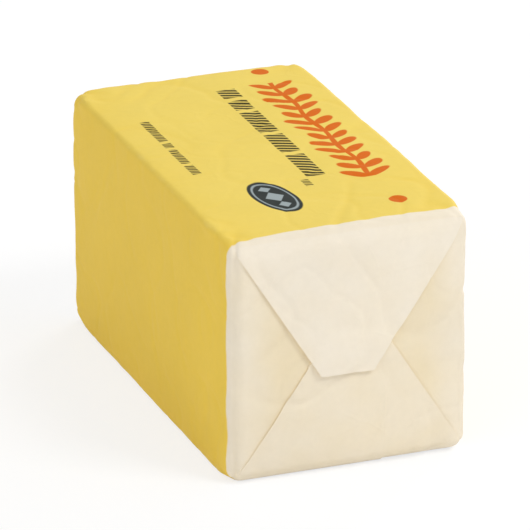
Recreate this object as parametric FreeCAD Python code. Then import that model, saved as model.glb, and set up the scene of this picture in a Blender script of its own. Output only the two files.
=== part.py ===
import FreeCAD, Part
import math
import os
from FreeCAD import Vector

os.makedirs("parts", exist_ok=True)

# One pound block of margarine in its paper wrapper, lying on its lap seam.
# Millimetres. X is the width, Y the length with a folded end at each side,
# Z is up from the table. The origin is at the middle of the underside.

block_width = 63.5
block_length = 120.65
block_height = 63.5

# The soft block swells between its edges, by this much at the middle of a face.
top_swell = 0.7
side_swell = 0.6
end_swell = 1.0

# Roundings of the wrapped edges.
long_edge_radius = 2.6
upright_edge_radius = 4.0
end_edge_radius = 4.0

# Paper folded over each end: the side tucks first, then the lower flap, then the upper one.
# Each flap stands off by its root step at the fold, and by its tip lift more at the tip.
flap_reach = 37.0
flap_tip_width = 14.0
flap_tip_radius = 2.5
flap_edge_slope = 0.5
lower_root_step = 0.25
lower_tip_lift = 0.35
upper_root_step = 0.5
upper_tip_lift = 0.6
fold_stack = 1.07  # what the folds add to the length at each end

# Lap seam along the underside: the outer ply ends past the middle, in a fine step.
seam_edge_x = 9.0
seam_step = 0.4
seam_slope = 0.5

margin = 2.0
end_zone = 9.0

across = Vector(1, 0, 0)
along = Vector(0, 1, 0)
up = Vector(0, 0, 1)


def soft_outline(first, second, low, high, radius, swells):
    """Rounded rectangle whose sides bow out to the box from low to high.

    first and second are the directions of its plane. swells lists the bow of the side
    at low second, high first, high second and low first. A swell of 0 is a straight side.
    """
    turns = ((0, -1), (1, 0), (0, 1), (-1, 0))
    left = low[0] + swells[3]
    right = high[0] - swells[1]
    bottom = low[1] + swells[0]
    top = high[1] - swells[2]
    corners = ((left, bottom), (right, bottom), (right, top), (left, top))
    diagonal = radius * (1 - math.sqrt(0.5))

    def place(point):
        return first * point[0] + second * point[1]

    edges = []
    for index, outward in enumerate(turns):
        start_corner = corners[index]
        end_corner = corners[(index + 1) % 4]
        ahead = (-outward[1], outward[0])
        start = (start_corner[0] + ahead[0] * radius, start_corner[1] + ahead[1] * radius)
        end = (end_corner[0] - ahead[0] * radius, end_corner[1] - ahead[1] * radius)
        swell = swells[index]
        if swell == 0:
            edges.append(Part.makeLine(place(start), place(end)))
        else:
            crest = ((start[0] + end[0]) / 2 + outward[0] * swell,
                     (start[1] + end[1]) / 2 + outward[1] * swell)
            edges.append(Part.Arc(place(start), place(crest), place(end)).toShape())
        shoulder = (end_corner[0] - (outward[0] + ahead[0]) * diagonal,
                    end_corner[1] - (outward[1] + ahead[1]) * diagonal)
        next_start = (end_corner[0] - outward[0] * radius, end_corner[1] - outward[1] * radius)
        edges.append(Part.Arc(place(end), place(shoulder), place(next_start)).toShape())
    return Part.Wire(edges)


def prism(outline, direction, start, end):
    """An outline extruded along a direction, from start to end."""
    outline.translate(direction * start)
    return Part.Face(outline).extrude(direction * (end - start))


def wrapped_form(length):
    """The wrapped block without its flaps: where three swollen, rounded prisms meet."""
    half_width = block_width / 2
    half_length = length / 2
    section = soft_outline(across, up, (-half_width, 0), (half_width, block_height),
                           long_edge_radius, (0, side_swell, top_swell, side_swell))
    plan = soft_outline(across, along, (-half_width, -half_length), (half_width, half_length),
                        upright_edge_radius, (end_swell, side_swell, end_swell, side_swell))
    profile = soft_outline(along, up, (-half_length, 0), (half_length, block_height),
                           end_edge_radius, (0, end_swell, top_swell, end_swell))
    form = prism(section, along, -half_length - margin, half_length + margin)
    form = form.common(prism(plan, up, -margin, block_height + margin))
    return form.common(prism(profile, across, -half_width - margin, half_width + margin))


def flap_outline(root_height, direction, grow, distance):
    """Trapezoid of a flap at a distance along Y, from its full-width root to its blunt tip."""
    half_root = block_width / 2 + grow
    half_tip = flap_tip_width / 2 + grow
    tip_height = root_height + direction * (flap_reach + grow)
    behind_root = root_height - direction * margin
    corners = [
        Vector(-half_root, distance, behind_root),
        Vector(half_root, distance, behind_root),
        Vector(half_root, distance, root_height),
        Vector(half_tip, distance, tip_height),
        Vector(-half_tip, distance, tip_height),
        Vector(-half_root, distance, root_height),
    ]
    return Part.makePolygon(corners + corners[:1])


def flap_trimmer(end_side, root_height, direction):
    """Sloped prism that trims a ply to the flap's outline, with a rounded tip."""
    inner = end_side * (block_length / 2 - end_zone)
    outer = end_side * (block_length / 2 + margin)
    wide = flap_outline(root_height, direction, flap_edge_slope, inner)
    narrow = flap_outline(root_height, direction, 0, outer)
    trimmer = Part.makeLoft([wide, narrow], True)
    tip_height = root_height + direction * flap_reach
    tip_edges = [edge for edge in trimmer.Edges
                 if edge.BoundBox.YLength > end_zone
                 and abs(edge.BoundBox.Center.z - tip_height) < margin]
    return trimmer.makeFillet(flap_tip_radius, tip_edges)


def end_flap(end_side, root_height, direction, root_step, tip_lift):
    """One folded flap: a longer form, leaned out about the flap's root and trimmed to its outline."""
    form = wrapped_form(block_length - 2 * fold_stack + 2 * root_step)
    lean = math.degrees(math.atan2(tip_lift, flap_reach))
    root = Vector(0, end_side * block_length / 2, root_height)
    form.rotate(root, across, -end_side * direction * lean)
    return form.common(flap_trimmer(end_side, root_height, direction))


def seam_relief():
    """The space beside the lap seam, where the underside is one ply thinner."""
    far = block_width / 2 + margin
    corners = [
        Vector(seam_edge_x, 0, -margin),
        Vector(far, 0, -margin),
        Vector(far, 0, seam_step),
        Vector(seam_edge_x + seam_slope, 0, seam_step),
        Vector(seam_edge_x, 0, 0),
    ]
    outline = Part.makePolygon(corners + corners[:1])
    return prism(outline, along, -block_length / 2 - margin, block_length / 2 + margin)


def wrapped_block():
    """Block, four end flaps and the lap seam as one closed solid."""
    body = wrapped_form(block_length - 2 * fold_stack)
    for end_side in (-1, 1):
        body = body.fuse(end_flap(end_side, 0, 1, lower_root_step, lower_tip_lift))
        body = body.fuse(end_flap(end_side, block_height, -1, upper_root_step, upper_tip_lift))
    return body.cut(seam_relief()).removeSplitter()


block = wrapped_block()
block.exportStep("parts/wrapped_block.step")
print("solids", len(block.Solids), "closed", block.isValid(), "cm3", round(block.Volume / 1000, 1))
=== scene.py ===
import bmesh
import bpy
from math import atan2, cos, exp, pi, radians, sin, sqrt
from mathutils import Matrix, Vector, noise


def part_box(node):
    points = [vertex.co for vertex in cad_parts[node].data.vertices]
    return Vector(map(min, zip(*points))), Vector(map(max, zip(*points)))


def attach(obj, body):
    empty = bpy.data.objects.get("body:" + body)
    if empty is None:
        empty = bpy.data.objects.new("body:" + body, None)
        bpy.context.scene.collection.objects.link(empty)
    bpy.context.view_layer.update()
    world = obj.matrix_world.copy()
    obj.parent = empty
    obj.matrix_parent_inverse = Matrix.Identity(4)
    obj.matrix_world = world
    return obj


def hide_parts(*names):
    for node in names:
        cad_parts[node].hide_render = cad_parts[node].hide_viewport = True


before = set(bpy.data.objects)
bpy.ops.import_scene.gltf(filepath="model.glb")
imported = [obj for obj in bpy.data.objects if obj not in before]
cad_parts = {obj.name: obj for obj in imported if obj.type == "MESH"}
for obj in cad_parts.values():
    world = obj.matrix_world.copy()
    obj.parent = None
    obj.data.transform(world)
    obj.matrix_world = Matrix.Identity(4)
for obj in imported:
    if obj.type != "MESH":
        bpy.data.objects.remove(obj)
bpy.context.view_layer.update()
low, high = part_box("wrapped_block")
middle = (low + high) / 2
mm = 0.001
halfX = (high.x - low.x) / 2 / mm     # the block's own measures are in mm
halfY = (high.y - low.y) / 2 / mm
tall = (high.z - low.z) / mm


def smoothStep(start, end, value):  # 0 at the start, 1 at the end, and a soft rise between
    share = min(max((value - start) / (end - start), 0.0), 1.0)
    return share * share * (3 - 2 * share)


def cover(distance, width):  # 1 on a flap, 0 off it, and an even slope between
    return 1 - min(max(distance / width, 0.0), 1.0)


def ridge(distance, width):  # 1 on a line, fading to 0 beside it
    return exp(-(distance / width) ** 2)


def waves(x, y, z, size, seed):  # smooth noise in -1..1, lengths in mm
    return noise.noise(Vector((x / size + seed, y / size - seed, z / size + 2 * seed)))


block = dict(
    cell=0.75,            # grid size of the skin
    longRound=1.4,        # rounding of the long edges
    endRound=4.0,         # rounding at the folded ends
    endRoundFrom=11.0,    # distances from an end between which the rounding changes
    endRoundFull=2.0,
    sideSwell=0.5,        # how far a face swells in its middle
    endSwell=0.8,
    topSwell=0.55,
    sidePower=5,          # the higher, the closer to its face the swelling stays
    endPower=9,
    topPower=3,
    swellFade=4,          # the higher, the closer to its edges a face is swollen
    reserve=0.12,         # kept free inside the box for ripples
    clearance=0.03,       # the skin stays this far inside its box
    layers=0.8,           # how opaque the paper is away from the ends, 0 to 1
    sharpAngle=38.0,      # degrees; a fold steeper than this is shaded as an edge
)

flaps = dict(
    reach=37.0,           # from the fold to the blunt tip
    tipWidth=14.0,
    edge=0.3,             # width of the step down beside a flap
    steps=(0.3, 0.4),     # height of that step, on the lower and the upper flap
    lifts=(0.15, 0.45),   # how much further their tips stand off
    rootFade=8.0,         # depth over which the step grows from the fold
    sideTuck=0.25,        # how far a folded side edge hangs over
    tipTuck=0.9,          # how far the cut tip hangs over
    openFrom=2.5,         # the lower flap hangs over in full this far off the upper one
    softIn=2.5,           # under the upper flap the lower one's edge is a slope of these widths
    softOut=1.5,
    layers=(0.55, 1.0),   # how opaque the two flaps are
    sideLayers=0.7,       # and the tucked sides, up to the first width and gone past the second
    sideFull=3.0,
    sideReach=14.0,
    scorePast=3.0,        # the outline is scored a little past a flap's corners
    scoreUnder=1.2,       # and a little way in under the upper flap
    shiftX={-1: (0.9, -1.3), 1: (-1.1, 0.8)},       # both flaps off the middle, at each end
    skew={-1: (-0.012, 0.02), 1: (0.015, -0.018)},  # slope of their cut tips
)

seam = dict(
    edgeX=9.0,            # place of the lap's free edge on the underside
    step=0.3,             # how much higher the paper lies beside the lap
    width=0.3,            # width of that step
    tuck=0.7,             # how far the edge hangs over
    tuckFrom=3.0,         # distances from an end between which the overhang grows
    tuckFull=9.0,
    onFlap=0.14,          # the lap raises the lower flap by this much
    onFlapFull=16.0,      # up to the first height, and no more past the second
    onFlapEnd=23.5,
    endFade=5.0,          # the step runs out on an end by this height
)

closeness = dict(         # how near counts as the same place
    plane=0.01,           # a point to a face of the box
    cut=0.02,             # a scored line to a grid point
    outline=0.015,        # a point to a flap's outline
    foot=0.03,            # a point to the foot of a step
    doubles=0.04,         # any point to the next
    alongLine=0.2,        # points along a scored line
    besideLine=0.28,      # a grid point to one on a scored line
)


def flapFrame(side, layer):  # two slanted edges and the tip of a flap, as planes in x and depth
    shift = flaps["shiftX"][side][layer]
    skew = flaps["skew"][side][layer]
    halfTip = flaps["tipWidth"] / 2
    planes = []
    for hand in (-1, 1):
        run = Vector((shift + hand * halfTip - hand * halfX, flaps["reach"]))
        normal = Vector((run.y, -run.x)).normalized() * hand
        planes.append((normal, normal.dot(Vector((hand * halfX, 0)))))
    tip = Vector((-skew, 1)).normalized()
    planes.append((tip, tip.dot(Vector((shift, flaps["reach"])))))
    return planes


flapFrames = {(side, layer): flapFrame(side, layer) for side in (-1, 1) for layer in (0, 1)}


def flapDepth(z, layer):  # from the lower flap's fold upwards, from the upper one's downwards
    return tall - z if layer else z


def flapDistances(x, z, side, layer):  # signed distances to the two slanted edges and the tip
    depth = flapDepth(z, layer)
    return [normal.x * x + normal.y * depth - offset for normal, offset in flapFrames[side, layer]]


def underUpper(x, z, side, margin):  # whether a place on an end lies under the upper flap
    return max(flapDistances(x, z, side, 1)) <= margin


def flapOverhang(x, z, side, layer, fade):  # how far the foot of a flap's step goes in under it
    turn = -1 if layer else 1
    distances = flapDistances(x, z, side, layer)
    free = 1.0
    if layer == 0:
        free = smoothStep(flaps["edge"], flaps["openFrom"], max(flapDistances(x, z, side, 1)))
    sideTuck = (flaps["sideTuck"] + flaps["edge"]) * fade * free - flaps["edge"]
    tipTuck = flaps["tipTuck"] * free if free else -flaps["edge"]
    overhang = Vector((0, 0, 0))
    for plane, past, tuck in zip(flapFrames[side, layer], distances, (sideTuck, sideTuck, tipTuck)):
        normal = plane[0]
        overhang -= Vector((normal.x, 0, turn * normal.y)) * max(past + tuck, 0.0)
    return overhang


def foldedEnd(x, z, side):  # height of the folded paper, its sideways overhang, and its layers
    height = 0.0
    layers = flaps["sideLayers"] * smoothStep(flaps["sideReach"], flaps["sideFull"], halfX - abs(x))
    overhang = Vector((0, 0, 0))
    for layer in (0, 1):
        depth = flapDepth(z, layer)
        distance = max(flapDistances(x, z, side, layer))
        if distance > flaps["softOut"]:
            continue
        fade = smoothStep(0, flaps["rootFade"], depth)
        own = flaps["steps"][layer] * fade
        own += flaps["lifts"][layer] * smoothStep(flaps["rootFade"], flaps["reach"], depth)
        on = cover(distance, flaps["edge"])
        if layer == 0:
            lapped = cover(x - seam["edgeX"], seam["width"])
            lapped *= smoothStep(seam["onFlapEnd"], seam["onFlapFull"], z)
            own += seam["onFlap"] * fade * lapped
            if underUpper(x, z, side, closeness["plane"]):  # shows only softly through the upper flap
                on = 1 - smoothStep(-flaps["softIn"], flaps["softOut"], distance)
        height += on * own
        layers = max(layers, flaps["layers"][layer] * on)
        if abs(distance - flaps["edge"]) < closeness["foot"]:
            overhang += flapOverhang(x, z, side, layer, fade)
    return height, overhang, layers


def gridBlock():  # box of the block's size, cut into a fine even grid
    mesh = bmesh.new()
    bmesh.ops.create_cube(mesh, size=2.0)
    bmesh.ops.scale(mesh, vec=(halfX, halfY, tall / 2), verts=mesh.verts)
    for axis, length in enumerate((2 * halfX, 2 * halfY, tall)):
        along = [e for e in mesh.edges if abs((e.verts[0].co - e.verts[1].co)[axis]) > length / 2]
        cuts = round(length / block["cell"]) - 1
        bmesh.ops.subdivide_edges(mesh, edges=along, cuts=cuts, use_grid_fill=True)
    bmesh.ops.translate(mesh, vec=(0, 0, tall / 2), verts=mesh.verts)
    return mesh


def cutLine(mesh, faces, point, direction):  # score one straight line across some faces
    geometry = set(faces)
    for face in faces:
        geometry.update(face.edges)
        geometry.update(face.verts)
    bmesh.ops.bisect_plane(mesh, geom=list(geometry), dist=closeness["cut"],
                           plane_co=point, plane_no=direction)


def endFaces(mesh, side):  # the faces of one end, each with its middle's x and z
    places = ((f, f.calc_center_median()) for f in mesh.faces)
    return [(f, place.x, place.z) for f, place in places
            if side * place.y > halfY - closeness["plane"]]


def scoreFolds(mesh):  # the flaps' outlines on both ends, and the lap seam below
    past = flaps["scorePast"]
    for (side, layer), planes in flapFrames.items():
        root, turn = ((0.0, 1), (tall, -1))[layer]
        for index, (normal, offset) in enumerate(planes):
            reachX = flaps["tipWidth"] / 2 + past if index == 2 else halfX
            for extra in (0.0, flaps["edge"]):
                faces = [f for f, x, z in endFaces(mesh, side)
                         if abs(x) < reachX and flapDepth(z, layer) < flaps["reach"] + past
                         and not (layer == 0 and underUpper(x, z, side, -flaps["scoreUnder"]))]
                away = Vector((normal.x, 0, turn * normal.y))
                point = Vector((0, side * halfY, root)) + away * (offset + extra)
                cutLine(mesh, faces, point, away)
    for extra in (0.0, seam["width"]):
        faces = [f for f in mesh.faces if f.calc_center_median().z < closeness["plane"]]
        for side in (-1, 1):
            faces += [f for f, x, z in endFaces(mesh, side) if z < seam["onFlapEnd"]]
        cutLine(mesh, faces, Vector((seam["edgeX"] + extra, 0, 0)), Vector((1, 0, 0)))


def onOutline(vert):  # whether a point of an end lies on a scored outline or the foot beside it
    side = 1 if vert.co.y > 0 else -1
    for layer in (0, 1):
        outline = max(flapDistances(vert.co.x, vert.co.z, side, layer))
        if min(abs(outline), abs(outline - flaps["edge"])) < closeness["outline"]:
            return True
    return False


def settleFolds(mesh):  # grid points close beside a scored line join it, so that its edge runs clean
    ends = [v for v in mesh.verts if abs(v.co.y) > halfY - closeness["plane"]]
    onLine = [v for v in ends if onOutline(v)]
    bmesh.ops.remove_doubles(mesh, verts=onLine, dist=closeness["alongLine"])
    onLine = [v for v in onLine if v.is_valid]
    ends = [v for v in ends if v.is_valid]
    found = bmesh.ops.find_doubles(mesh, verts=ends, keep_verts=onLine, dist=closeness["besideLine"])
    bmesh.ops.weld_verts(mesh, targetmap=found["targetmap"])
    bmesh.ops.triangulate(mesh, faces=[f for f in mesh.faces if len(f.verts) > 4])


def roundedPlace(co):  # from the flat box to the rounded, swollen block
    folds = sum(flaps["steps"]) + sum(flaps["lifts"]) + seam["onFlap"]
    limits = Vector((halfX - block["sideSwell"] - block["reserve"],
                     halfY - block["endSwell"] - block["reserve"] - folds,
                     (tall - block["topSwell"] - block["reserve"]) / 2))
    shareX = co.x / halfX
    shareY = co.y / halfY
    shareZ = (co.z - tall / 2) / (tall / 2)
    towardEnd = smoothStep(halfY - block["endRoundFrom"], halfY - block["endRoundFull"], abs(co.y))
    rounding = block["longRound"] + (block["endRound"] - block["longRound"]) * towardEnd
    placed = Vector((shareX * limits.x, shareY * limits.y, shareZ * limits.z))
    inner = Vector([min(max(placed[i], rounding - limits[i]), limits[i] - rounding) for i in range(3)])
    outward = placed - inner
    if outward.length > 0:
        outward.normalize()
        placed = inner + outward * rounding
    bowX, bowY, bowZ = [1 - share ** block["swellFade"] for share in (shareX, shareY, shareZ)]
    placed.x += block["sideSwell"] * shareX ** block["sidePower"] * bowY * bowZ
    placed.y += block["endSwell"] * shareY ** block["endPower"] * bowX * bowZ
    if shareZ > 0:
        placed.z += block["topSwell"] * shareZ ** block["topPower"] * bowX * bowY
    placed.z += limits.z
    return placed, outward


pleats = dict(
    depth=0.5,
    reach=18.0,           # distance from a corner at which the pleats run out
    full=5.0,             # and inside which they are full
    onEnd=4,              # how closely they fan out over the end
    roundEdge=6,          # and round the edge beside it
    narrow=4,             # the higher, the narrower
    sway=5.0,             # how unevenly they are spaced
    swayNoise=(55.0, 9.4),
)

ripples = dict(           # a noise is its size and its seed
    sink=0.08,            # draws the whole skin in a little
    swells=((31.0, 3.1, 0.30), (11.0, 7.7, 0.15)),   # size, seed and height
    creases=((24.0, 2.6, 0.26), (15.0, 8.8, 0.18)),  # size, seed and depth of long thin creases
    creaseWidth=0.055,
    calmShare=0.6,        # how deep they are in the middle of the block's length
    calmTo=20.0,          # up to the first distance from there, and full from the second on
    liveFrom=50.0,
    endFrom=18.0,         # distances from an end between which the paper gets uneven
    endFull=2.0,
    cornerFrom=14.0,      # the same for the corners and the long edges, from the middle
    edgeFrom=22.0,
    edgeFull=31.0,
    crimp=(3.6, 1.3),     # fine crimping, and its height in three places
    crimpEnd=0.04,
    crimpCorner=0.14,
    crimpEdge=0.05,
    gather=(4.5, 4.2),    # gathers over the rounded edges of an end
    gatherHeight=0.16,
    gatherStretch=5,      # times longer than wide
    dent=(6.0, 5.9),      # small dents at the corners
    dentDepth=0.14,
)


def pleatDepth(x, y, z):  # short creases that fan out from each corner of the folded ends
    across = halfX - abs(x)
    up = min(z, tall - z)
    along = halfY - abs(y)
    away = sqrt(across ** 2 + up ** 2 + along ** 2)
    if away > pleats["reach"]:
        return 0.0
    turn = atan2(up, across) * pleats["onEnd"] + atan2(along, across + up) * pleats["roundEdge"]
    turn += pleats["sway"] * waves(x, y, z, *pleats["swayNoise"])
    crease = (0.5 + 0.5 * cos(turn)) ** pleats["narrow"]
    return pleats["depth"] * crease * smoothStep(pleats["reach"], pleats["full"], away)


def paperRipple(place):  # small unevenness of folded paper over a soft block
    x, y, z = place
    fromMiddle = abs(z - tall / 2)
    nearEnd = smoothStep(halfY - ripples["endFrom"], halfY - ripples["endFull"], abs(y))
    nearCorner = (nearEnd * smoothStep(ripples["cornerFrom"], ripples["edgeFull"], abs(x))
                  * smoothStep(ripples["cornerFrom"], ripples["edgeFull"], fromMiddle))
    nearEdge = (smoothStep(ripples["edgeFrom"], ripples["edgeFull"], abs(x))
                * smoothStep(ripples["edgeFrom"], ripples["edgeFull"], fromMiddle))
    offset = -ripples["sink"]
    for size, seed, height in ripples["swells"]:
        offset += height * waves(x, y, z, size, seed)
    crimps = ripples["crimpEnd"] * nearEnd + ripples["crimpCorner"] * nearCorner
    crimps += ripples["crimpEdge"] * nearEdge
    offset += crimps * waves(x, y, z, *ripples["crimp"])
    gathered = waves(x, y / ripples["gatherStretch"], z / ripples["gatherStretch"], *ripples["gather"])
    offset += ripples["gatherHeight"] * nearEnd * gathered
    offset -= ripples["dentDepth"] * nearCorner * abs(waves(x, y, z, *ripples["dent"]))
    lively = smoothStep(ripples["calmTo"], ripples["liveFrom"], abs(y))
    lively = ripples["calmShare"] + (1 - ripples["calmShare"]) * lively
    for size, seed, depth in ripples["creases"]:
        offset -= depth * lively * ridge(waves(x, y, z, size, seed), ripples["creaseWidth"])
    return offset - pleatDepth(x, y, z)


def shapeSkin(mesh):  # from the scored box to the wrapped block
    paperLayers = mesh.verts.layers.float.new("paper_layers")
    for vert in mesh.verts:
        co = vert.co.copy()
        vert[paperLayers] = block["layers"]
        placed, outward = roundedPlace(co)
        if abs(co.y) > halfY - closeness["plane"]:
            side = 1 if co.y > 0 else -1
            height, overhang, vert[paperLayers] = foldedEnd(co.x, co.z, side)
            placed += Vector((0, side * height, 0)) + overhang
        unlapped = 1 - cover(co.x - seam["edgeX"], seam["width"])
        placed.z += seam["step"] * unlapped * smoothStep(seam["endFade"], 0, co.z)
        foot = seam["edgeX"] + seam["width"]
        if co.z < closeness["plane"] and abs(co.x - foot) < closeness["foot"]:
            fade = smoothStep(halfY - seam["tuckFrom"], halfY - seam["tuckFull"], abs(co.y))
            placed.x -= seam["tuck"] * fade
        level = 1 - smoothStep(0.5, 1.0, -outward.z)  # the underside rests flat, without ripples
        placed += outward * paperRipple(placed) * level
        spare = block["clearance"]
        vert.co = (min(max(placed.x, spare - halfX), halfX - spare),
                   min(max(placed.y, spare - halfY), halfY - spare),
                   min(placed.z, tall - spare))


def makeSkin():
    mesh = gridBlock()
    scoreFolds(mesh)
    bmesh.ops.remove_doubles(mesh, verts=mesh.verts, dist=closeness["doubles"])
    settleFolds(mesh)
    shapeSkin(mesh)
    bmesh.ops.scale(mesh, vec=(mm, mm, mm), verts=mesh.verts)
    bmesh.ops.translate(mesh, vec=(middle.x, middle.y, low.z), verts=mesh.verts)
    bmesh.ops.recalc_face_normals(mesh, faces=mesh.faces)
    data = bpy.data.meshes.new("paper_skin")
    mesh.to_mesh(data)
    mesh.free()
    for polygon in data.polygons:
        polygon.use_smooth = True
    data.set_sharp_from_angle(angle=radians(block["sharpAngle"]))
    piece = bpy.data.objects.new("paper_skin", data)
    bpy.context.scene.collection.objects.link(piece)
    return piece


skin = makeSkin()
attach(skin, "root")
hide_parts("wrapped_block")
print("skin made", len(skin.data.polygons), "faces")


def connect(tree, socket, value):  # a socket takes another node's output or a plain value
    if isinstance(value, bpy.types.NodeSocket):
        tree.links.new(value, socket)
    else:
        socket.default_value = value


def calc(tree, operation, first, second=0.0, third=0.0, clamp=False):
    node = tree.nodes.new("ShaderNodeMath")
    node.operation = operation
    node.use_clamp = clamp
    for socket, value in zip(node.inputs, (first, second, third)):
        connect(tree, socket, value)
    return node.outputs[0]


def nearestOf(tree, distances):  # the union of several shapes
    nearest = distances[0]
    for distance in distances[1:]:
        nearest = calc(tree, "MINIMUM", nearest, distance)
    return nearest


def blendColors(tree, share, first, second):
    node = tree.nodes.new("ShaderNodeMix")
    node.data_type = "RGBA"
    connect(tree, node.inputs["Factor"], share)
    connect(tree, node.inputs[6], first)
    connect(tree, node.inputs[7], second)
    return node.outputs[2]


def inside(tree, distance, blur=0.12):  # 1 where a signed distance in mm is negative
    node = tree.nodes.new("ShaderNodeMapRange")
    connect(tree, node.inputs["Value"], distance)
    node.inputs["From Min"].default_value = blur
    node.inputs["From Max"].default_value = -blur
    return node.outputs[0]


def cloud(tree, place, size, detail=2.0, stretch=(1, 1, 1)):  # noise in 0..1, size in mm
    mapping = tree.nodes.new("ShaderNodeMapping")
    mapping.vector_type = "POINT"
    mapping.inputs["Scale"].default_value = [s / mm for s in stretch]
    tree.links.new(place, mapping.inputs["Vector"])
    node = tree.nodes.new("ShaderNodeTexNoise")
    node.inputs["Scale"].default_value = 1 / size
    node.inputs["Detail"].default_value = detail
    tree.links.new(mapping.outputs[0], node.inputs["Vector"])
    return node.outputs["Fac"]


def paint(red, green, blue):  # screen colour 0..255 to the renderer's own scale
    def linear(value):
        value /= 255
        return value / 12.92 if value <= 0.04045 else ((value + 0.055) / 1.055) ** 2.4
    return (linear(red), linear(green), linear(blue), 1.0)


inks = dict(
    yellow=paint(240, 213, 104),      # the top
    paintedShadeGolden=paint(243, 208, 86),       # the long sides and the underside: the yellow, painted deeper golden as painted shade
    orange=paint(219, 105, 4),
    dark=paint(62, 54, 16),
    navy=paint(40, 46, 44),
    paleBlue=paint(157, 168, 170),
    rubbedAndHighlit=paint(247, 228, 158),      # where the ink has worn thin, and a painted highlight along the long edges
    paper=paint(245, 235, 217),       # several layers
    paperWarm=paint(240, 224, 190),   # one layer over the yellow block
)

field = dict(             # the printed yellow, and the top's own part of it
    halfLength=55.6,
    shiftY=1.9,           # it sits a little off the middle
    slant=0.045,          # and a little askew
    reach=56.2,           # its edge never runs round onto the folds
    wander=1.6,           # its edge isn't straight
    wanderSize=9.0,
    wanderAtReach=0.4,    # share of that at the reach
    blur=0.22,
    unshadedDepth=1.2,         # how far down the sides the top's plain yellow goes; below it the yellow is painted golden as painted shade
    unshadedBlur=0.9,
    printDepth=3.0,       # nothing but yellow is printed lower than this
    printBlur=0.2,
)

sprig = dict(
    x=17.7,
    start=-27.2,
    end=43.0,
    endGap=0.2,
    pitch=5.4,            # from one pair of leaves to the next
    stemHalf=0.7,
    stemSway=0.5,
    swayPairs=4,          # pairs of leaves along one sway of the stem
    leafX=3.0,            # middle of a leaf, beside the stem
    leafY=-0.05,
    leafHalf=(3.6, 1.45),
    leafTurn=40.0,        # degrees
    uneven=0.12,          # the leaves' sizes differ by this share
    unevenTurn=0.37,      # radians for each mm along the stem
    halfWidth=8.0,        # more than the leaves reach, as only the length is cut off
)

strokes = dict(
    slant=0.45,           # how far a stroke leans over for each mm of its height
    bands=(               # place, half height, pitch, half stroke, and runs
        (4.9, 2.5, 1.9, 0.62, ((-22.5, -7.5), (-5.5, 7.5), (9.5, 24.5), (26.5, 33.0), (35.0, 41.2))),
        (-21.9, 1.15, 1.2, 0.36, ((-11.0, -4.5), (-3.0, 7.0), (8.5, 11.5), (13.0, 27.5))),
        (1.0, 1.0, 1.1, 0.3, ((-28.2, -24.0),)),
    ),
)

badge = dict(
    centre=(-9.8, -32.3),
    half=(5.2, 10.6),
    turn=8.0,             # degrees
    ringShare=(0.8, 0.84),   # size of the ring inside the oval
    ringHalf=0.2,
    largeLozenge=(2.5, 3.2),
    smallLozenge=(1.7, 1.7),
    smallFromMiddle=5.3,
)

dots = dict(radius=2.3, centres=((17.8, -43.8), (18.2, 51.4)))


def capsule(tree, x, y, lineX, start, end, half):  # straight stroke along Y
    beyond = calc(tree, "MAXIMUM", calc(tree, "SUBTRACT", start, y), calc(tree, "SUBTRACT", y, end))
    beside = calc(tree, "ABSOLUTE", calc(tree, "SUBTRACT", x, lineX))
    return calc(tree, "MAXIMUM", beyond, calc(tree, "SUBTRACT", beside, half))


def turned(tree, x, y, centreX, centreY, turn):  # coordinates about a centre, turned in the plane
    acrossX = calc(tree, "SUBTRACT", x, centreX)
    acrossY = calc(tree, "SUBTRACT", y, centreY)
    cosine = cos(radians(turn))
    sine = sin(radians(turn))
    turnedX = calc(tree, "MULTIPLY_ADD", acrossX, cosine, calc(tree, "MULTIPLY", acrossY, sine))
    turnedY = calc(tree, "MULTIPLY_ADD", acrossY, cosine, calc(tree, "MULTIPLY", acrossX, -sine))
    return turnedX, turnedY


def lozenge(tree, x, y, reachX, reachY):
    shareX = calc(tree, "ABSOLUTE", calc(tree, "DIVIDE", x, reachX))
    shareY = calc(tree, "ABSOLUTE", calc(tree, "DIVIDE", y, reachY))
    reach = calc(tree, "SUBTRACT", calc(tree, "ADD", shareX, shareY), 1.0)
    return calc(tree, "MULTIPLY", reach, reachX * reachY / sqrt(reachX ** 2 + reachY ** 2))


def oval(tree, x, y, centreX, centreY, reachX, reachY, turn=0.0):
    turnedX, turnedY = turned(tree, x, y, centreX, centreY, turn)
    squareX = calc(tree, "POWER", calc(tree, "ABSOLUTE", calc(tree, "DIVIDE", turnedX, reachX)), 2.0)
    squareY = calc(tree, "POWER", calc(tree, "ABSOLUTE", calc(tree, "DIVIDE", turnedY, reachY)), 2.0)
    reach = calc(tree, "SQRT", calc(tree, "ADD", squareX, squareY))
    return calc(tree, "MULTIPLY", calc(tree, "SUBTRACT", reach, 1.0), min(reachX, reachY))


def leafySprig(tree, x, y):  # wavy stem with pairs of slanted leaves
    pitch = sprig["pitch"]
    sway = calc(tree, "SINE", calc(tree, "MULTIPLY", y, 2 * pi / (pitch * sprig["swayPairs"])))
    sway = calc(tree, "MULTIPLY", sway, sprig["stemSway"])
    fromStem = calc(tree, "SUBTRACT", calc(tree, "SUBTRACT", x, sprig["x"]), sway)
    uneven = calc(tree, "SINE", calc(tree, "MULTIPLY", y, sprig["unevenTurn"]))
    uneven = calc(tree, "MULTIPLY_ADD", uneven, sprig["uneven"], 1.0)
    beside = calc(tree, "MULTIPLY", calc(tree, "ABSOLUTE", fromStem), uneven)
    counted = calc(tree, "DIVIDE", calc(tree, "SUBTRACT", y, sprig["start"]), pitch)
    cellY = calc(tree, "MULTIPLY", calc(tree, "SUBTRACT", calc(tree, "FRACT", counted), 0.5), pitch)
    leaf = oval(tree, beside, cellY, sprig["leafX"], sprig["leafY"], *sprig["leafHalf"], sprig["leafTurn"])
    stem = calc(tree, "SUBTRACT", beside, sprig["stemHalf"])
    start = sprig["start"] + sprig["endGap"]
    end = sprig["end"] - sprig["endGap"]
    length = capsule(tree, x, y, sprig["x"], start, end, sprig["halfWidth"])
    return calc(tree, "MAXIMUM", nearestOf(tree, [leaf, stem]), length)


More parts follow.
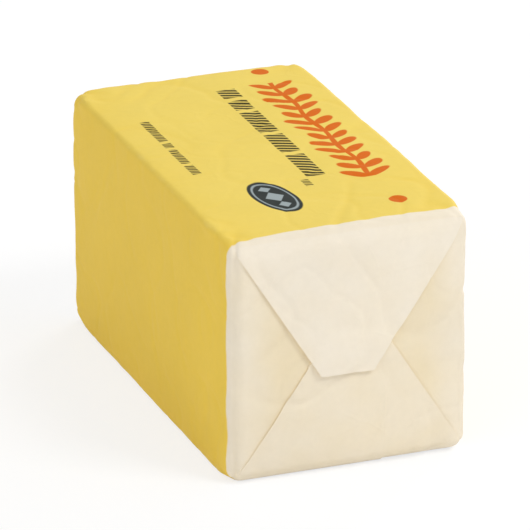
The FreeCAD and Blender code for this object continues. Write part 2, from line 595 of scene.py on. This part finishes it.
def hatch(tree, x, y, lineX, half, pitch, thin, runs):  # band of short slanted strokes
    skewed = calc(tree, "ADD", y, calc(tree, "MULTIPLY", x, strokes["slant"]))
    share = calc(tree, "FRACT", calc(tree, "DIVIDE", skewed, pitch))
    fromStroke = calc(tree, "MULTIPLY", calc(tree, "ABSOLUTE", calc(tree, "SUBTRACT", share, 0.5)), pitch)
    band = nearestOf(tree, [capsule(tree, x, y, lineX, start, end, half) for start, end in runs])
    return calc(tree, "MAXIMUM", calc(tree, "SUBTRACT", fromStroke, thin), band)


def badgeMarks(tree, x, y):  # ring and three lozenges inside the oval
    ringX, ringY = [share * half for share, half in zip(badge["ringShare"], badge["half"])]
    outer = oval(tree, x, y, *badge["centre"], ringX, ringY, badge["turn"])
    ring = calc(tree, "SUBTRACT", calc(tree, "ABSOLUTE", outer), badge["ringHalf"])
    turnedX, turnedY = turned(tree, x, y, *badge["centre"], badge["turn"])
    fromMiddle = calc(tree, "ABSOLUTE", turnedY)
    fromSmall = calc(tree, "SUBTRACT", fromMiddle, badge["smallFromMiddle"])
    large = lozenge(tree, turnedX, fromMiddle, *badge["largeLozenge"])
    small = lozenge(tree, turnedX, fromSmall, *badge["smallLozenge"])
    return nearestOf(tree, [ring, large, small])


def printOn(tree, x, y, printMask, ground):  # the shapes on the top, one ink after another
    def lay(ink, distance, under):
        return blendColors(tree, calc(tree, "MULTIPLY", inside(tree, distance), printMask), under, ink)

    color = lay(inks["orange"], leafySprig(tree, x, y), ground)
    for band in strokes["bands"]:
        color = lay(inks["dark"], hatch(tree, x, y, *band), color)
    disc = oval(tree, x, y, *badge["centre"], *badge["half"], badge["turn"])
    color = lay(inks["navy"], disc, color)
    color = lay(inks["paleBlue"], badgeMarks(tree, x, y), color)
    for centre in dots["centres"]:
        color = lay(inks["orange"], oval(tree, x, y, *centre, dots["radius"], dots["radius"]), color)
    return color


creaseNet = dict(
    cell=17.0,            # size of the paper's smooth patches between creases
    sway=7.0,             # how far the creases wander, and over what length
    swaySize=11.0,
    width=0.012,          # in shares of a cell
    blur=0.03,
    presence=(19.0, 1.0),    # size and detail of the cloud that says where they are
    presenceGain=3.0,
    presenceLoss=1.1,
)

# paler band along the long edges: worn ink, and also a painted highlight
wearAndHighlight = dict(
    width=1.9,
    blur=0.9,
    flecks=(2.2, 5.0, (1, 0.35, 1)),   # size, detail and stretch of the cloud behind them
    fleckFrom=0.5,
    fleckFull=0.72,
    strength=0.55,
)

paperLook = dict(         # a cloud is its size, detail and stretch
    mottle=(12.0, 3.0),
    mottleSpan=0.7,
    warmth=0.85,          # of a single layer
    warmthLost=0.75,      # by the time the paper is opaque
    tone=0.955,
    broad=(26.0,),
    broadSpan=0.09,
    fine=(1.6, 4.0),
    fineSpan=0.05,
    roughness=0.46,
    rough=(5.0, 3.0),
    roughSpan=0.16,
    refraction=1.45,
    specular=0.06,
    fibre=(0.5, 3.0, (1, 0.45, 1)),
    soft=(3.5, 2.0),
    softShare=3.0,
    creaseShare=4.0,      # on bare paper
    creaseLost=1.4,       # under the ink
    bumpStrength=0.35,
    bumpHeight=0.05,
)


def creaseLines(tree, place):  # uneven net of fine creases
    bent = tree.nodes.new("ShaderNodeVectorMath")
    bent.operation = "MULTIPLY_ADD"
    sway = tree.nodes.new("ShaderNodeTexNoise")
    sway.inputs["Scale"].default_value = 1 / (creaseNet["swaySize"] * mm)
    sway.inputs["Detail"].default_value = 2.0
    tree.links.new(place, sway.inputs["Vector"])
    tree.links.new(sway.outputs["Color"], bent.inputs[0])
    bent.inputs[1].default_value = [creaseNet["sway"] * mm] * 3
    tree.links.new(place, bent.inputs[2])
    cells = tree.nodes.new("ShaderNodeTexVoronoi")
    cells.feature = "DISTANCE_TO_EDGE"
    cells.inputs["Scale"].default_value = 1 / (creaseNet["cell"] * mm)
    tree.links.new(bent.outputs[0], cells.inputs["Vector"])
    fold = calc(tree, "SUBTRACT", cells.outputs["Distance"], creaseNet["width"])
    presence = cloud(tree, place, *creaseNet["presence"])
    presence = calc(tree, "MULTIPLY_ADD", presence, creaseNet["presenceGain"],
                    -creaseNet["presenceLoss"], clamp=True)
    return calc(tree, "MULTIPLY", inside(tree, fold, creaseNet["blur"]), presence)


def edgeWearAndHighlight(tree, place, x, z):  # ink rubbed thin along the long edges, together with a painted highlight there
    fromSide = calc(tree, "SUBTRACT", halfX, calc(tree, "ABSOLUTE", x))
    fromLevel = calc(tree, "MINIMUM", z, calc(tree, "SUBTRACT", tall, z))
    beyond = calc(tree, "SUBTRACT", calc(tree, "ADD", fromSide, fromLevel), wearAndHighlight["width"])
    flecks = tree.nodes.new("ShaderNodeMapRange")
    tree.links.new(cloud(tree, place, *wearAndHighlight["flecks"]), flecks.inputs["Value"])
    flecks.inputs["From Min"].default_value = wearAndHighlight["fleckFrom"]
    flecks.inputs["From Max"].default_value = wearAndHighlight["fleckFull"]
    wornAndHighlit = calc(tree, "MULTIPLY", inside(tree, beyond, wearAndHighlight["blur"]), flecks.outputs[0])
    return calc(tree, "MULTIPLY", wornAndHighlit, wearAndHighlight["strength"])


def yellowField(tree, place, x, y):  # 1 where the paper is printed yellow
    wander = calc(tree, "SUBTRACT", cloud(tree, place, field["wanderSize"]), 0.5)
    wander = calc(tree, "MULTIPLY", wander, field["wander"])
    past = calc(tree, "ABSOLUTE", calc(tree, "SUBTRACT", y, field["shiftY"]))
    past = calc(tree, "SUBTRACT", past, field["halfLength"])
    past = calc(tree, "ADD", calc(tree, "MULTIPLY_ADD", x, field["slant"], past), wander)
    limit = calc(tree, "SUBTRACT", calc(tree, "ABSOLUTE", y), field["reach"])
    limit = calc(tree, "MULTIPLY_ADD", wander, field["wanderAtReach"], limit)
    return inside(tree, calc(tree, "MAXIMUM", past, limit), field["blur"])


def barePaper(tree, place):  # paler where layers lie on one another, warmer over the yellow block
    layers = tree.nodes.new("ShaderNodeAttribute")
    layers.attribute_name = "paper_layers"
    span = paperLook["mottleSpan"]
    mottled = calc(tree, "MULTIPLY_ADD", cloud(tree, place, *paperLook["mottle"]), span, -span / 2)
    warmth = calc(tree, "MULTIPLY_ADD", layers.outputs["Fac"], -paperLook["warmthLost"],
                  paperLook["warmth"])
    warmth = calc(tree, "ADD", warmth, mottled, clamp=True)
    return blendColors(tree, warmth, inks["paper"], inks["paperWarm"])


def paperTone(tree, place):  # small differences in brightness
    tone = calc(tree, "MULTIPLY_ADD", cloud(tree, place, *paperLook["broad"]),
                paperLook["broadSpan"], paperLook["tone"])
    fine = calc(tree, "SUBTRACT", cloud(tree, place, *paperLook["fine"]), 0.5)
    return calc(tree, "MULTIPLY_ADD", fine, paperLook["fineSpan"], tone)


def paperRelief(tree, place, yellowMask):  # fibres, soft dents and fine creases, as a bump
    relief = calc(tree, "MULTIPLY_ADD", cloud(tree, place, *paperLook["soft"]),
                  paperLook["softShare"], cloud(tree, place, *paperLook["fibre"]))
    creaseShare = calc(tree, "MULTIPLY_ADD", yellowMask, -paperLook["creaseLost"],
                       paperLook["creaseShare"])
    relief = calc(tree, "MULTIPLY_ADD", creaseLines(tree, place), creaseShare, relief)
    bump = tree.nodes.new("ShaderNodeBump")
    bump.inputs["Strength"].default_value = paperLook["bumpStrength"]
    bump.inputs["Distance"].default_value = paperLook["bumpHeight"] * mm
    tree.links.new(relief, bump.inputs["Height"])
    return bump.outputs[0]


def printedPaper():
    material = bpy.data.materials.new("printed_paper")
    material.use_nodes = True
    tree = material.node_tree
    surface = tree.nodes["Principled BSDF"]
    place = tree.nodes.new("ShaderNodeTexCoord").outputs["Object"]
    split = tree.nodes.new("ShaderNodeSeparateXYZ")
    tree.links.new(place, split.inputs[0])
    x, y, z = [calc(tree, "MULTIPLY", calc(tree, "SUBTRACT", output, origin), 1 / mm)
               for output, origin in zip(split.outputs, (middle.x, middle.y, low.z))]

    yellowMask = yellowField(tree, place, x, y)
    fromTop = calc(tree, "SUBTRACT", tall, z)
    # the top keeps the plain yellow; the sides and the underside get painted shade, a deeper golden
    unshadedTopMask = inside(tree, calc(tree, "SUBTRACT", fromTop, field["unshadedDepth"]), field["unshadedBlur"])
    printMask = inside(tree, calc(tree, "SUBTRACT", fromTop, field["printDepth"]), field["printBlur"])
    ink = blendColors(tree, unshadedTopMask, inks["paintedShadeGolden"], inks["yellow"])
    color = blendColors(tree, yellowMask, barePaper(tree, place), ink)
    color = printOn(tree, x, y, printMask, color)
    # paler long edges: worn ink together with a painted highlight
    color = blendColors(tree, edgeWearAndHighlight(tree, place, x, z), color, inks["rubbedAndHighlit"])
    shade = tree.nodes.new("ShaderNodeVectorMath")
    shade.operation = "SCALE"
    tree.links.new(color, shade.inputs[0])
    tree.links.new(paperTone(tree, place), shade.inputs["Scale"])
    tree.links.new(shade.outputs[0], surface.inputs["Base Color"])

    rough = calc(tree, "MULTIPLY_ADD", cloud(tree, place, *paperLook["rough"]),
                 paperLook["roughSpan"], paperLook["roughness"])
    tree.links.new(rough, surface.inputs["Roughness"])
    surface.inputs["IOR"].default_value = paperLook["refraction"]
    surface.inputs["Specular IOR Level"].default_value = paperLook["specular"]
    tree.links.new(paperRelief(tree, place, yellowMask), surface.inputs["Normal"])
    return material


skin.data.materials.append(printedPaper())
print("paper printed")


studio = dict(
    floorSize=6.0,
    floorTone=0.94,
    floorGrain=0.02,
    floorGrainSize=60.0,  # mm
    floorGlow=1.06,       # the floor's own light, which only the camera and reflections see
    floorShare=0.68,      # and how much of the floor it is
    worldLevel=0.52,      # light from all around, which is plain white where it is looked at
    lamps=(               # name, power, size and place
        ("key_light", 11.3, 0.6, (0.75, -0.85, 1.4)),
        ("fill_light", 5.5, 1.2, (-1.3, -0.8, 0.9)),
        ("back_light", 9.0, 0.6, (1.2, 1.15, 0.8)),
    ),
)

view = dict(
    azimuth=-20.9,        # degrees from straight on at the front end, towards the left
    elevation=22.0,
    distance=1.587,
    lens=432.0,
    sensor=36.0,
    clip=0.05,
)


def seenRay(tree):  # 1 for what the camera and reflections see
    rays = tree.nodes.new("ShaderNodeLightPath")
    return calc(tree, "MAXIMUM", rays.outputs["Is Camera Ray"], rays.outputs["Is Glossy Ray"])


def backdropMaterial():
    material = bpy.data.materials.new("backdrop_paper")
    material.use_nodes = True
    tree = material.node_tree
    tree.nodes.clear()
    diffuse = tree.nodes.new("ShaderNodeBsdfDiffuse")
    place = tree.nodes.new("ShaderNodeTexCoord").outputs["Object"]
    grain = calc(tree, "MULTIPLY_ADD", cloud(tree, place, studio["floorGrainSize"]),
                 studio["floorGrain"], studio["floorTone"])
    tree.links.new(grain, diffuse.inputs["Color"])
    glow = tree.nodes.new("ShaderNodeEmission")
    glow.inputs["Strength"].default_value = studio["floorGlow"]
    mixed = tree.nodes.new("ShaderNodeMixShader")
    tree.links.new(calc(tree, "MULTIPLY", seenRay(tree), studio["floorShare"]), mixed.inputs[0])
    tree.links.new(diffuse.outputs[0], mixed.inputs[1])
    tree.links.new(glow.outputs[0], mixed.inputs[2])
    result = tree.nodes.new("ShaderNodeOutputMaterial")
    tree.links.new(mixed.outputs[0], result.inputs["Surface"])
    return material


def makeFloor():
    mesh = bmesh.new()
    bmesh.ops.create_grid(mesh, x_segments=1, y_segments=1, size=studio["floorSize"] / 2)
    bmesh.ops.translate(mesh, vec=(0, 0, low.z), verts=mesh.verts)
    data = bpy.data.meshes.new("floor")
    mesh.to_mesh(data)
    mesh.free()
    data.materials.append(backdropMaterial())
    floorPiece = bpy.data.objects.new("floor", data)
    bpy.context.scene.collection.objects.link(floorPiece)


def addLamp(name, power, size, place):
    lamp = bpy.data.lights.new(name, "AREA")
    lamp.energy = power
    lamp.size = size
    lampPiece = bpy.data.objects.new(name, lamp)
    lampPiece.location = place
    lampPiece.rotation_euler = (middle - Vector(place)).to_track_quat("-Z", "Y").to_euler()
    bpy.context.scene.collection.objects.link(lampPiece)


def setWorld():
    world = bpy.data.worlds.new("studio")
    world.use_nodes = True
    tree = world.node_tree
    ground = tree.nodes["Background"]
    ground.inputs["Color"].default_value = (1, 1, 1, 1)
    rest = studio["worldLevel"]
    level = calc(tree, "MULTIPLY_ADD", seenRay(tree), 1 - rest, rest)
    tree.links.new(level, ground.inputs["Strength"])
    bpy.context.scene.world = world


def addCamera():
    lens = bpy.data.cameras.new("camera")
    lens.lens = view["lens"]
    lens.sensor_width = view["sensor"]
    lens.clip_start = view["clip"]
    turn = radians(view["azimuth"])
    rise = radians(view["elevation"])
    back = Vector((sin(turn) * cos(rise), -cos(turn) * cos(rise), sin(rise)))
    cameraPiece = bpy.data.objects.new("camera", lens)
    cameraPiece.location = middle + back * view["distance"]
    cameraPiece.rotation_euler = (-back).to_track_quat("-Z", "Y").to_euler()
    bpy.context.scene.collection.objects.link(cameraPiece)
    bpy.context.scene.camera = cameraPiece


makeFloor()
for lamp in studio["lamps"]:
    addLamp(*lamp)
setWorld()
addCamera()
bpy.context.scene.view_settings.view_transform = "Standard"
print("studio set")
